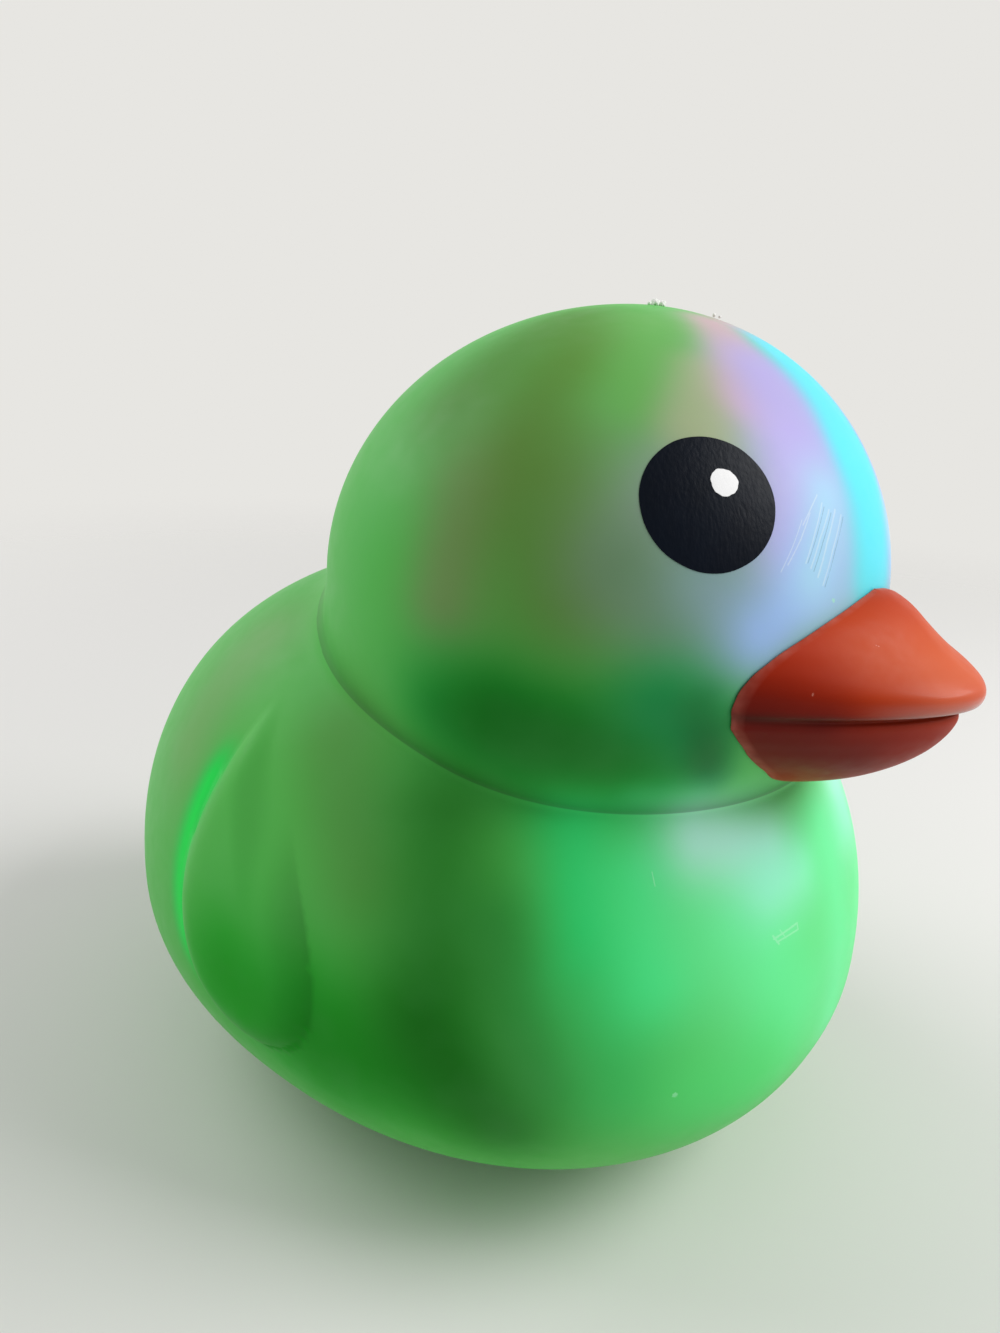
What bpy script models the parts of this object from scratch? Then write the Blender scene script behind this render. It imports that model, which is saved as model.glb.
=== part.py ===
"""Rubber duck: a hollow vinyl moulding with a beak, printed eyes and a squeaker.

The duck faces -Y and stands on z = 0. The origin is the middle of its base,
halfway between the tip of the beak and the tip of the tail. Sizes are metres.
"""
import math
from collections import namedtuple

import bmesh
import bpy
import numpy as np

# Body: an egg lying along Y, with a slice cut off underneath
BODY_WIDTH = 0.156
BODY_FRONT = 0.0910
BODY_BACK = 0.0943
BODY_RISE = 0.0806
BODY_DROP = 0.0530
BASE_CUT = 0.0040
BODY_FULLNESS = 2.16

# Head: nearly a ball about the top of the egg, spread a little towards the nape
HEAD_WIDTH = 0.1264
HEAD_FRONT = 0.0548
HEAD_BACK = 0.0617
HEAD_RISE = 0.0558
HEAD_DROP = 0.0606
HEAD_FORWARD = 0.0309
HEAD_FULLNESS = 2.0
NAPE_SPREAD = 0.55
NAPE_SPREAD_POWER = 1.2

# Tail: a short soft tip drawn out of the back; its length is measured from the body's back
TAIL_WIDTH = 0.044
TAIL_ABOVE = 0.020
TAIL_BELOW = 0.026
TAIL_LENGTH = 0.0118
TAIL_TIP_ABOVE_CENTRE = 0.031
TAIL_ROUNDNESS = 1.5

# Neck: a sharp crease at the throat that fades out at the nape
CREASE_BLEND = 0.0015
NAPE_BLEND = 0.013
NAPE_FADE_POWER = 4
CORE_FORWARD_SHARE = 0.6

# Vinyl wall, and the air hole with its round recess under the base
WALL = 0.0025
HOLE_RADIUS = 0.0050
RECESS_RADIUS = 0.0110
RECESS_DEPTH = 0.0016
RECESS_DRAFT = 0.0004

# Wing: a raised teardrop on each side, round end down; its low end is below the body's centre
WING_LENGTH = 0.074
WING_WIDTH = 0.041
WING_BELOW_CENTRE = 0.011
WING_CENTRE_BACK = 0.0005
WING_LEAN_BACK = 0.0105
WING_RISE = 0.0030
WING_ROOT = 0.0015
WING_TAPER = 1.5
WING_EDGE_ROUNDING = 4
WING_FADE = 0.0240
WING_FRONT_FADE_FROM_TOP = 0.0460
WING_BACK_FADE_FROM_TOP = 0.0200
WING_FADE_TURN = 0.016

# Beak: a short wedge with a flared upper bill and a lower bill set back under it;
# its length is measured from the front of the head, its mouth from the head's centre
BEAK_WIDTH = 0.070
BEAK_LENGTH = 0.0208
BEAK_MOUTH_BELOW_CENTRE = 0.0111
BEAK_MOUTH_DROP = 0.0020
BEAK_ABOVE = 0.0180
BEAK_BELOW = 0.0195
BEAK_TAPER = 0.66
BEAK_ROOF_FULLNESS = 1.8
BEAK_ROOF_PINCH = 0.4
BEAK_LIP_HEIGHT = 0.0090
BEAK_LIP_START = 0.75
BEAK_LIP_ROUNDING = 8
BEAK_CHIN_TAPER = 0.5
BEAK_LOWER_NARROWING = 0.06
BEAK_GROOVE = 0.0016
BEAK_GROOVE_SPREAD = 0.12
BEAK_SETBACK = 0.0030

# Eyes: printed discs that follow the head
EYE_DIAMETER = 0.0234
EYE_TURN = math.radians(44)
EYE_LOOK_UP = math.radians(25)
PRINT_THICKNESS = 0.0005
GLINT_DIAMETER = 0.0046
GLINT_FORWARD = 0.0026
GLINT_UP = 0.0035

# Squeaker: a plug with a flange, a neck through the wall and a barb inside
SQUEAKER_BORE = 0.0015
SQUEAKER_FLANGE = 0.0010
SQUEAKER_FLANGE_EDGE = 0.0008
SQUEAKER_BARB = 0.0010
SQUEAKER_BARB_RIM = 0.0012
SQUEAKER_TUBE = 0.0050
SQUEAKER_TUBE_TAPER = 0.0005

# Clearance between neighbouring pieces
GAP = 0.00035

# Fineness of the meshes
SKIN_COLUMN_COUNT = 64
TAIL_CROWDING = 0.35
HEAD_ROW_COUNT = 16
BODY_ROW_COUNT = 15
ROW_EASING = 1.25
WING_ROW_COUNT = 6
WING_UNDER_ROW_COUNT = 3
BEAK_COLUMN_COUNT = 40
BEAK_BACK_ROW_COUNT = 5
BEAK_SECTION_COUNT = 11
BEAK_SECTION_EASING = 1.5
DISC_COLUMN_COUNT = 32
DISC_ROW_COUNT = 4
GLINT_ROW_COUNT = 2
TURNED_STEP_COUNT = 40
HALVING_COUNT = 36

Form = namedtuple("Form", "centre half front back rise drop fullness spread")


def body_centre_height():
    """Height of the middle of the body's egg above the base."""
    return BODY_DROP - BASE_CUT


def head_centre_height():
    """Height of the middle of the head, which is the top of the body's egg."""
    return body_centre_height() + BODY_RISE


def wing_low():
    """Height of the round end of the wing."""
    return body_centre_height() - WING_BELOW_CENTRE


def mouth_height():
    """Height of the corners of the mouth."""
    return head_centre_height() - BEAK_MOUTH_BELOW_CENTRE


def body_form():
    """The body's egg."""
    return Form((0, 0, body_centre_height()), BODY_WIDTH / 2, BODY_FRONT, BODY_BACK,
                BODY_RISE, BODY_DROP, BODY_FULLNESS, 0.0)


def head_form():
    """The head's ball."""
    return Form((0, -HEAD_FORWARD, head_centre_height()), HEAD_WIDTH / 2, HEAD_FRONT, HEAD_BACK,
                HEAD_RISE, HEAD_DROP, HEAD_FULLNESS, NAPE_SPREAD)


def depth(form, points):
    """How far points lie out of a form: under 0 inside, 0 on its surface."""
    offset = points - np.array(form.centre)
    x, y, z = offset[..., 0], offset[..., 1], offset[..., 2]
    z = z / np.where(z > 0, form.rise, form.drop)
    grown = 1 + form.spread * np.clip(-z, 0, 1) ** NAPE_SPREAD_POWER
    y = y / np.where(y < 0, form.front, form.back * grown)
    parts = np.abs(x / form.half), np.abs(y), np.abs(z)
    return sum(part ** form.fullness for part in parts) ** (1 / form.fullness) - 1


def reach(form, start, rays):
    """Distance along each ray from start, inside the form, to where it leaves the form."""
    low = np.zeros(rays.shape[:-1])
    high = low + form.rise + form.drop + form.half
    for _ in range(HALVING_COUNT):
        middle = (low + high) / 2
        inside = depth(form, start + rays * middle[..., None]) < 0
        low, high = np.where(inside, middle, low), np.where(inside, high, middle)
    return low


def smooth_step(value):
    """Rises from 0 to 1 with level ends."""
    value = np.clip(value, 0, 1)
    return value * value * (3 - 2 * value)


def soft_max(a, b, softness):
    """The larger of a and b, rounded over where they are within softness of each other."""
    share = np.clip(0.5 + 0.5 * (a - b) / softness, 0, 1)
    return b + (a - b) * share + softness * share * (1 - share)


def core():
    """A point inside the neck from which every point of the skin can be seen."""
    height = (body_centre_height() + head_centre_height()) / 2
    return np.array((0, -HEAD_FORWARD * CORE_FORWARD_SHARE, height))


def directions(turn, tip):
    """Unit rays: turn is the angle round Z from the front, tip the angle down from the top."""
    turn, tip = np.broadcast_arrays(turn, tip)
    return np.stack([np.sin(tip) * np.sin(turn), -np.sin(tip) * np.cos(turn), np.cos(tip)], -1)


def tail_stretch(rays, start):
    """How far the tail draws the skin out along each ray: most at its tip, then falling softly."""
    tip_height = body_centre_height() + TAIL_TIP_ABOVE_CENTRE
    tip = np.array((0, BODY_BACK + TAIL_LENGTH, tip_height)) - start
    length = np.linalg.norm(tip)
    stretch = length - float(reach(body_form(), start, (tip / length)[None])[0])
    away = rays * length - tip
    across = away[..., 0] / (TAIL_WIDTH / 2)
    upright = np.hypot(away[..., 1], away[..., 2])
    upright = upright / np.where(away[..., 2] > 0, TAIL_ABOVE, TAIL_BELOW)
    return stretch * np.exp(-np.hypot(across, upright) ** TAIL_ROUNDNESS)


def skin_points(turn, tip):
    """Points of the outer skin, where the rays from the core leave the head or the body."""
    rays = directions(turn, tip)
    start = core()
    body = reach(body_form(), start, rays) + tail_stretch(rays, start)
    head = reach(head_form(), start, rays)
    towards_nape = (0.5 - 0.5 * np.cos(turn)) ** NAPE_FADE_POWER + 0 * tip
    softness = CREASE_BLEND + (NAPE_BLEND - CREASE_BLEND) * towards_nape
    distance = soft_max(head, body, softness)
    falling = rays[..., 2] < 0
    to_floor = start[2] / np.where(falling, -rays[..., 2], 1)
    distance = np.where(falling, np.minimum(distance, to_floor), distance)
    return start + rays * distance[..., None]


def angle_where(turn, low, high, is_above):
    """The angle down from the top, for each turn, where is_above stops being true."""
    low, high = np.full_like(turn, low), np.full_like(turn, high)
    for _ in range(HALVING_COUNT):
        middle = (low + high) / 2
        above = is_above(turn, middle)
        low, high = np.where(above, middle, low), np.where(above, high, middle)
    return (low + high) / 2


def head_is_outside(turn, tip):
    """True where the head, and not the body, makes the skin."""
    rays = directions(turn, tip)
    return reach(head_form(), core(), rays) > reach(body_form(), core(), rays)


def clear_of_floor(turn, tip):
    """True where the skin is above the flat base, by more than rounding error."""
    return skin_points(turn, tip)[..., 2] > 1e-7


def even_turns(count):
    """Angles evenly round a full turn."""
    return np.linspace(0, 2 * math.pi, count, endpoint=False)


def skin_rings():
    """Rings of skin points, from the crown down over the crease and the base to the air hole."""
    turn = even_turns(SKIN_COLUMN_COUNT)
    turn = turn + TAIL_CROWDING * np.sin(turn)
    crease = angle_where(turn, math.radians(20), math.radians(150), head_is_outside)
    edge = angle_where(turn, math.radians(110), math.radians(180), clear_of_floor)
    rings = [skin_points(turn, crease * (1 - (1 - step / HEAD_ROW_COUNT) ** ROW_EASING))
             for step in range(HEAD_ROW_COUNT)]
    rings += [skin_points(turn, crease + (edge - crease) * (step / BODY_ROW_COUNT) ** ROW_EASING)
              for step in range(BODY_ROW_COUNT + 1)]
    rings += [base_ring(turn, RECESS_RADIUS + RECESS_DRAFT, 0.0),
              base_ring(turn, RECESS_RADIUS, RECESS_DEPTH),
              base_ring(turn, HOLE_RADIUS, RECESS_DEPTH)]
    return rings


def base_ring(turn, radius, height):
    """A round ring about the air hole."""
    return np.stack([radius * np.sin(turn), -radius * np.cos(turn), height + 0 * turn], -1)


def new_object(name, mesh, collection):
    """An object in a collection, from a mesh or a bmesh that is used up."""
    if isinstance(mesh, bmesh.types.BMesh):
        bm, mesh = mesh, bpy.data.meshes.new(name)
        bm.to_mesh(mesh)
        bm.free()
    obj = bpy.data.objects.new(name, mesh)
    collection.objects.link(obj)
    return obj


def shaped_sphere(rings):
    """A UV sphere whose rows take the rings' places; its poles take the means of the end rings."""
    columns = len(rings[1])
    bm = bmesh.new()
    bmesh.ops.create_uvsphere(bm, u_segments=columns, v_segments=len(rings) - 1, radius=1.0)
    for vert in bm.verts:
        row = round(math.acos(max(-1.0, min(1.0, vert.co.z))) * (len(rings) - 1) / math.pi)
        turn = math.atan2(vert.co.x, -vert.co.y)
        column = round(turn * columns / (2 * math.pi)) % columns
        place = rings[row].mean(axis=0) if row in (0, len(rings) - 1) else rings[row][column]
        vert.co = [float(value) for value in place]
    if bm.calc_volume(signed=True) < 0:
        bmesh.ops.reverse_faces(bm, faces=bm.faces)
    return bm


def open_bottom(bm):
    """Take away the lowest ring's fan, which leaves the air hole open."""
    pole = max(bm.verts, key=lambda vert: len(vert.link_edges) * (vert.co.z < body_centre_height()))
    bmesh.ops.delete(bm, geom=[pole], context="VERTS")


def material(name, colour, roughness, metallic=0.0):
    """A Principled material."""
    made = bpy.data.materials.new(name)
    made.use_nodes = True
    shader = made.node_tree.nodes["Principled BSDF"]
    shader.inputs["Base Color"].default_value = (*colour, 1.0)
    shader.inputs["Roughness"].default_value = roughness
    shader.inputs["Metallic"].default_value = metallic
    return made


def finish(obj, made, sharp=math.radians(40)):
    """Give an object its material and smooth shading with crisp edges."""
    obj.data.materials.clear()
    obj.data.materials.append(made)
    obj.data.shade_smooth()
    obj.data.set_sharp_from_angle(angle=sharp)


def add_boolean(obj, other, operation):
    """Join or cut an object by another."""
    modifier = obj.modifiers.new(other.name, "BOOLEAN")
    modifier.operation = operation
    modifier.solver = "EXACT"
    modifier.object = other
    other.hide_render = True
    other.display_type = "WIRE"


def body_side(y, z):
    """Half the body's width at a place in its side view."""
    y = y / np.where(y < 0, BODY_FRONT, BODY_BACK)
    z = z - body_centre_height()
    z = z / np.where(z > 0, BODY_RISE, BODY_DROP)
    left = 1 - np.abs(y) ** BODY_FULLNESS - np.abs(z) ** BODY_FULLNESS
    return BODY_WIDTH / 2 * np.clip(left, 0, None) ** (1 / BODY_FULLNESS)


def wing_outline(angle):
    """The teardrop in side view: round at the bottom, where angle is 0, and pointed on top."""
    up = np.sin(angle / 2) ** 2
    across = np.sin(angle) * np.abs(np.cos(angle / 2)) ** WING_TAPER
    across = across / np.abs(across).max()
    y = WING_CENTRE_BACK + WING_LEAN_BACK * up + WING_WIDTH / 2 * across
    return y, wing_low() + WING_LENGTH * up


def wing_ring(angle, share, outer):
    """One ring of the wing: share runs from 0 at its middle to 1 at its rim."""
    y, z = wing_outline(angle)
    middle_y, middle_z = y.mean(), z.mean()
    y = middle_y + (y - middle_y) * share
    z = middle_z + (z - middle_z) * share
    if outer:
        lean = WING_CENTRE_BACK + WING_LEAN_BACK * (z - wing_low()) / WING_LENGTH
        backward = smooth_step((y - lean) / WING_FADE_TURN + 0.5)
        from_top = WING_FRONT_FADE_FROM_TOP + (WING_BACK_FADE_FROM_TOP - WING_FRONT_FADE_FROM_TOP) * backward
        fade = smooth_step((z - wing_low() - WING_LENGTH + from_top) / WING_FADE)
        crown = (WING_ROOT / 2 + WING_RISE) * (1 - share ** WING_EDGE_ROUNDING) ** 0.5
        lift = crown * (1 - fade) - WING_ROOT / 2
    else:
        lift = -WING_ROOT / 2 * (2 - share)
    return np.stack([body_side(y, z) + lift, y, z], -1)


def wing_form(name, side, collection):
    """The wing's pad, rooted in the wall; side is -1 for the duck's right and 1 for its left."""
    angle = even_turns(DISC_COLUMN_COUNT)
    rings = [wing_ring(angle, math.sin(math.pi / 2 * step / WING_ROW_COUNT), True)
             for step in range(WING_ROW_COUNT + 1)]
    rings += [wing_ring(angle, step / WING_UNDER_ROW_COUNT, False)
              for step in reversed(range(WING_UNDER_ROW_COUNT))]
    rings = [ring * (side, 1, 1) for ring in rings]
    return new_object(name, shaped_sphere(rings), collection)


def make_body(parts, cutters):
    """The hollow moulding: the skin, its wall, and the two wings."""
    bm = shaped_sphere(skin_rings() + [base_ring(np.zeros(SKIN_COLUMN_COUNT), 0.0, RECESS_DEPTH)])
    open_bottom(bm)
    obj = new_object("duck_body", bm, parts)
    wall = obj.modifiers.new("vinyl wall", "SOLIDIFY")
    wall.thickness = WALL
    wall.offset = -1
    wall.use_even_offset = True
    for name, side in (("wing_form_right", -1), ("wing_form_left", 1)):
        add_boolean(obj, wing_form(name, side, cutters), "UNION")
    finish(obj, material("green_vinyl", (0.12, 0.52, 0.16), 0.42))
    return obj


def head_surface(rays, lift):
    """Points just off the head along rays from its centre."""
    start = np.array(head_form().centre)
    distance = reach(head_form(), start, rays) + lift
    return start + rays * distance[..., None]


def head_front(x, z, lift):
    """Points just off the front of the head, at places in its front view."""
    centre = np.array(head_form().centre)
    x = x / (HEAD_WIDTH / 2)
    z = (z - centre[2]) / np.where(z > centre[2], HEAD_RISE, HEAD_DROP)
    deep = np.clip(1 - np.abs(x) ** HEAD_FULLNESS - np.abs(z) ** HEAD_FULLNESS, 0, None)
    y = -HEAD_FRONT * deep ** (1 / HEAD_FULLNESS)
    z = z * np.where(z > 0, HEAD_RISE, HEAD_DROP)
    places = np.stack([x * HEAD_WIDTH / 2, y, z], -1)
    length = np.linalg.norm(places, axis=-1, keepdims=True)
    return centre + places * (1 + lift / length)


def beak_outline(turn, progress):
    """Width and height of the beak at a share of the way from the head to its tip."""
    across, up = np.cos(turn), np.sin(turn)
    above = up > 0
    roof = 2 / (BEAK_ROOF_FULLNESS - BEAK_ROOF_PINCH * math.sin(math.pi * progress))
    half = BEAK_WIDTH / 2 * (1 - progress) ** BEAK_TAPER
    groove = BEAK_GROOVE * np.exp(-(up / BEAK_GROOVE_SPREAD) ** 2) * (1 - progress)
    half = half * (1 - BEAK_LOWER_NARROWING * lower_bill(turn)) - groove
    ridge = BEAK_ABOVE - (BEAK_ABOVE - BEAK_LIP_HEIGHT) * smooth_step(progress / BEAK_LIP_START)
    ridge = ridge * (1 - progress ** BEAK_LIP_ROUNDING) ** 0.5
    chin = BEAK_BELOW * (1 - progress) ** BEAK_CHIN_TAPER
    x = half * np.sign(across) * np.abs(across) ** np.where(above, roof, 1)
    z = np.where(above, ridge * np.abs(up) ** roof, chin * up)
    return x, mouth_height() - BEAK_MOUTH_DROP * progress + z


def lower_bill(turn):
    """1 on the lower bill, falling to 0 at the mouth."""
    return smooth_step(-3 * np.sin(turn))


def beak_rings():
    """Rings from the middle of the beak's back, over its root and along it to the tip."""
    turn = even_turns(BEAK_COLUMN_COUNT)
    root_x, root_z = beak_outline(turn, 0.0)
    root_z = root_z - mouth_height()
    rings = [head_front(root_x * step / BEAK_BACK_ROW_COUNT,
                        mouth_height() + root_z * step / BEAK_BACK_ROW_COUNT, GAP)
             for step in range(BEAK_BACK_ROW_COUNT + 1)]
    root_y = rings[-1][:, 1]
    tip_y = -HEAD_FORWARD - HEAD_FRONT - BEAK_LENGTH
    for step in range(1, BEAK_SECTION_COUNT + 1):
        progress = 1 - (1 - step / BEAK_SECTION_COUNT) ** BEAK_SECTION_EASING
        x, z = beak_outline(turn, progress)
        setback = BEAK_SETBACK * lower_bill(turn) * progress * (1 - progress ** BEAK_LIP_ROUNDING)
        y = root_y * (1 - progress) + tip_y * progress + setback
        rings.append(np.stack([x, y, z], -1))
    return rings


def make_beak(parts):
    """The beak, whose back follows the head."""
    obj = new_object("beak", shaped_sphere(beak_rings()), parts)
    finish(obj, material("orange_vinyl", (0.62, 0.10, 0.02), 0.38))


def eye_axes(side):
    """An eye's middle, from the head's centre, with its forward and upward directions."""
    level = math.cos(EYE_LOOK_UP)
    ray = np.array((side * math.sin(EYE_TURN) * level, -math.cos(EYE_TURN) * level, math.sin(EYE_LOOK_UP)))
    forward = np.array((-side * math.cos(EYE_TURN), -math.sin(EYE_TURN), 0.0))
    up = np.cross(ray, forward) * side
    distance = float(reach(head_form(), np.array(head_form().centre), ray[None])[0])
    return ray * distance, forward, up * np.sign(up[2])


def disc_ring(side, shift, radius, lift):
    """A ring of a printed disc on an eye's middle, moved forward and up by shift."""
    middle, forward, up = eye_axes(side)
    turn = even_turns(DISC_COLUMN_COUNT)[:, None]
    rays = middle + forward * (shift[0] + radius * np.cos(turn)) + up * (shift[1] + radius * np.sin(turn))
    return head_surface(rays / np.linalg.norm(rays, axis=1, keepdims=True), lift)


def make_disc(name, side, diameter, shift, lift, rows, made, parts):
    """A thin disc of print that follows the head."""
    shares = [step / rows for step in range(rows + 1)]
    rings = [disc_ring(side, shift, diameter / 2 * share, lift + PRINT_THICKNESS) for share in shares]
    rings += [disc_ring(side, shift, diameter / 2 * share, lift) for share in reversed(shares)]
    obj = new_object(name, shaped_sphere(rings), parts)
    finish(obj, made)


def make_eyes(parts):
    """Both eyes, each a dark disc with a white glint on it."""
    dark = material("navy_print", (0.004, 0.007, 0.016), 0.35)
    white = material("white_print", (0.9, 0.9, 0.88), 0.4)
    glint_lift = 2 * GAP + PRINT_THICKNESS
    for name, side in (("right", -1), ("left", 1)):
        make_disc("eye_" + name, side, EYE_DIAMETER, (0, 0), GAP, DISC_ROW_COUNT, dark, parts)
        make_disc("eye_glint_" + name, side, GLINT_DIAMETER, (GLINT_FORWARD, GLINT_UP),
                  glint_lift, GLINT_ROW_COUNT, white, parts)


def squeaker_profile():
    """The plug's outline as (radius, height), from its flange up over the barb and down its bore."""
    neck = HOLE_RADIUS - GAP
    flange = RECESS_RADIUS - 3 * GAP
    flange_top = RECESS_DEPTH - GAP
    barb = RECESS_DEPTH + WALL + GAP
    top = barb + SQUEAKER_BARB + SQUEAKER_TUBE
    return [(neck - SQUEAKER_TUBE_TAPER, top),
            (neck, barb + SQUEAKER_BARB),
            (neck + SQUEAKER_BARB_RIM, barb),
            (neck, barb),
            (neck, flange_top),
            (flange, flange_top),
            (flange, flange_top - SQUEAKER_FLANGE + SQUEAKER_FLANGE_EDGE / 2),
            (flange - SQUEAKER_FLANGE_EDGE, flange_top - SQUEAKER_FLANGE),
            (SQUEAKER_BORE, flange_top - SQUEAKER_FLANGE),
            (SQUEAKER_BORE, top)]


def make_squeaker(parts):
    """The whistle plug, turned about the air hole's axis."""
    profile = squeaker_profile()
    mesh = bpy.data.meshes.new("squeaker")
    edges = [(index, (index + 1) % len(profile)) for index in range(len(profile))]
    mesh.from_pydata([(radius, 0, height) for radius, height in profile], edges, [])
    obj = new_object("squeaker", mesh, parts)
    turn = obj.modifiers.new("turned", "SCREW")
    turn.steps = turn.render_steps = TURNED_STEP_COUNT
    turn.use_merge_vertices = True
    turn.merge_threshold = 0.00001
    turn.use_smooth_shade = False
    obj.data.materials.append(material("white_plastic", (0.85, 0.85, 0.82), 0.45))


def make_duck():
    """Build every sub-part of the duck."""
    for obj in list(bpy.data.objects):
        bpy.data.objects.remove(obj, do_unlink=True)
    parts = bpy.data.collections.new("rubber_duck")
    cutters = bpy.data.collections.new("forms")
    for collection in (parts, cutters):
        bpy.context.scene.collection.children.link(collection)
    make_body(parts, cutters)
    make_beak(parts)
    make_eyes(parts)
    make_squeaker(parts)


make_duck()
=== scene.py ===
# %% [markdown]
# # A soft vinyl duck, dressed
# The real duck is a hollow skin of soft vinyl, sprayed with soft fields of colour, with an
# opaque beak and printed eyes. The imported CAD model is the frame: it fixes the size and the
# place of every piece. Each piece below is a fine surface worked out from the same few
# formulas as the CAD solid that it stands for, so it fits exactly and adds only what a
# coarse solid can't show.

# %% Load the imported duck
import math

import bmesh
import bpy
import numpy as np
from mathutils.bvhtree import BVHTree
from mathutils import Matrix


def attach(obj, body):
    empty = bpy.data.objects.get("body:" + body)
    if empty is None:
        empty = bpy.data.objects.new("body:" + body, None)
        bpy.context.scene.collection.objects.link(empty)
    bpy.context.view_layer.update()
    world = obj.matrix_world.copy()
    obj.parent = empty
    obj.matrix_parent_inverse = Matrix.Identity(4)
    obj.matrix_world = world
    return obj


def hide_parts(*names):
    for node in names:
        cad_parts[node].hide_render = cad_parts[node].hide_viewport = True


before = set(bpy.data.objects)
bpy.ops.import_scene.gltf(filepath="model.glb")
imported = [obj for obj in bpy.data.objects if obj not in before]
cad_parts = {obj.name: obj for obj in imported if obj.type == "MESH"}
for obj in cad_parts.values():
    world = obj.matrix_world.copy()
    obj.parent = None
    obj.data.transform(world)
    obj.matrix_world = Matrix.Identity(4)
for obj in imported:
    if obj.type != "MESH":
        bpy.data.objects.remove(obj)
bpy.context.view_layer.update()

print("pieces in the frame:", sorted(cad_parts))

# %% [markdown]
# ## The camera
# A phone held close above a small object sees it in strong perspective: the head looms and
# the base shrinks. The camera is therefore placed by where it stood, a hand's length off the
# beak, and not by an angle alone. Its three axes are worked out from how far it was turned
# round the duck, tipped down and tilted.

# %% Stand the camera where the photograph was taken
CAMERA_PLACE = np.array((-0.1818, -0.1388, 0.1763))
CAMERA_ROUND = math.radians(-52.64)
CAMERA_DOWN = math.radians(18.16)
CAMERA_TILT = math.radians(3.0)


def camera_axes(round_z, down, tilt):
    """Right, up and forward: forward is level, turned round Z and tipped down; tilt turns the others."""
    forward = np.array((-math.sin(round_z) * math.cos(down), math.cos(round_z) * math.cos(down),
                        -math.sin(down)))
    right = np.array((math.cos(round_z), math.sin(round_z), 0.0))
    up = np.cross(right, forward)
    return (math.cos(tilt) * right + math.sin(tilt) * up,
            math.cos(tilt) * up - math.sin(tilt) * right, forward)


right, up, forward = camera_axes(CAMERA_ROUND, CAMERA_DOWN, CAMERA_TILT)
lens = bpy.data.cameras.new("close_phone_lens")
lens.sensor_width = 36.0
lens.lens = 26.45
lens.clip_start = 0.01
camera = bpy.data.objects.new("camera", lens)
turned = np.eye(4)
turned[:3, 0], turned[:3, 1], turned[:3, 2], turned[:3, 3] = right, up, -forward, CAMERA_PLACE
camera.matrix_world = [list(column) for column in turned.T]
bpy.context.scene.collection.objects.link(camera)
bpy.context.scene.camera = camera
bpy.context.scene.view_settings.view_transform = "Standard"
print("camera looks along", forward.round(3))

# %% [markdown]
# ## From arrays to meshes
# Every piece of this duck is a stack of rings: the crown of the head is a small ring, the
# waist a large one, and the same goes for the beak, the print of the eyes and the whistle.
# A stack of rings is a grid of two parameters, how far along and how far round, so one short
# function can turn any of them into a closed mesh. A pole point at each end closes it.

# %% Rings into a closed surface


def ring_faces(rows, columns):
    """Quads between neighbouring rings, and fans from the two poles, which are the last two points."""
    row, column = np.meshgrid(np.arange(rows - 1), np.arange(columns), indexing="ij")
    here, after = row * columns + column, row * columns + (column + 1) % columns
    quads = np.stack([here, here + columns, after + columns, after], -1).reshape(-1, 4)
    column = np.arange(columns)
    following, last = (column + 1) % columns, (rows - 1) * columns
    first_pole, last_pole = rows * columns, rows * columns + 1
    fans = np.concatenate([np.stack([following, np.full(columns, first_pole), column], -1),
                           np.stack([last + column, np.full(columns, last_pole), last + following], -1)])
    return quads, fans


def signed_volume(points, triangles):
    """Sum of the small pyramids from the origin to each triangle: under 0 when faces point inwards."""
    a, b, c = (points[triangles[:, corner]] for corner in range(3))
    return float(np.einsum("ij,ij->i", a, np.cross(b, c)).sum() / 6)


def outward_faces(points, rows, columns):
    """The faces of a stack of rings, turned over if they would face inwards."""
    quads, fans = ring_faces(rows, columns)
    halves = np.concatenate([quads[:, (0, 1, 2)], quads[:, (0, 2, 3)], fans])
    if signed_volume(points, halves) < 0:
        quads, fans = quads[:, ::-1], fans[:, ::-1]
    return quads.tolist() + fans.tolist()


def smooth_piece(name, points, faces):
    """A smooth mesh as a piece of its own in the scene."""
    mesh = bpy.data.meshes.new(name)
    mesh.from_pydata(points, [], faces)
    mesh.shade_smooth()
    piece = bpy.data.objects.new(name, mesh)
    bpy.context.scene.collection.objects.link(piece)
    print(f"{name}: {len(points)} points, {sum(len(face) - 2 for face in faces)} triangles")
    return piece


def ring_surface(name, rings, first_pole, last_pole):
    """A closed smooth piece from rings of points shaped (rows, columns, 3)."""
    points = np.concatenate([rings.reshape(-1, 3), [first_pole, last_pole]])
    return smooth_piece(name, points, outward_faces(points, *rings.shape[:2]))


def add_values(piece, name, values, kind="FLOAT"):
    """Keep one value or colour a point on a piece, for its material to read."""
    attribute = piece.data.attributes.new(name, kind, "POINT")
    field = "color" if kind == "FLOAT_COLOR" else "value"
    attribute.data.foreach_set(field, np.ascontiguousarray(values, dtype=np.float32).ravel())


# %% [markdown]
# ## The skin of the duck
# The duck is two soft balls pressed into each other. The body is an egg lying down, cut flat
# below; the head is nearly round. One way to model that is to sculpt it. Here each ball is a
# formula instead: a point is on it when its three distances from the centre, each shared by
# the ball's own reach that way and raised to a power, add up to one.
#
# From a point inside the neck the whole skin can be seen, so the skin is simply how far one
# can go in each direction before leaving both balls. Taking the softer of two maxima rounds
# the crease at the throat a little, and at the nape a lot, as on the real moulding.

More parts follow.
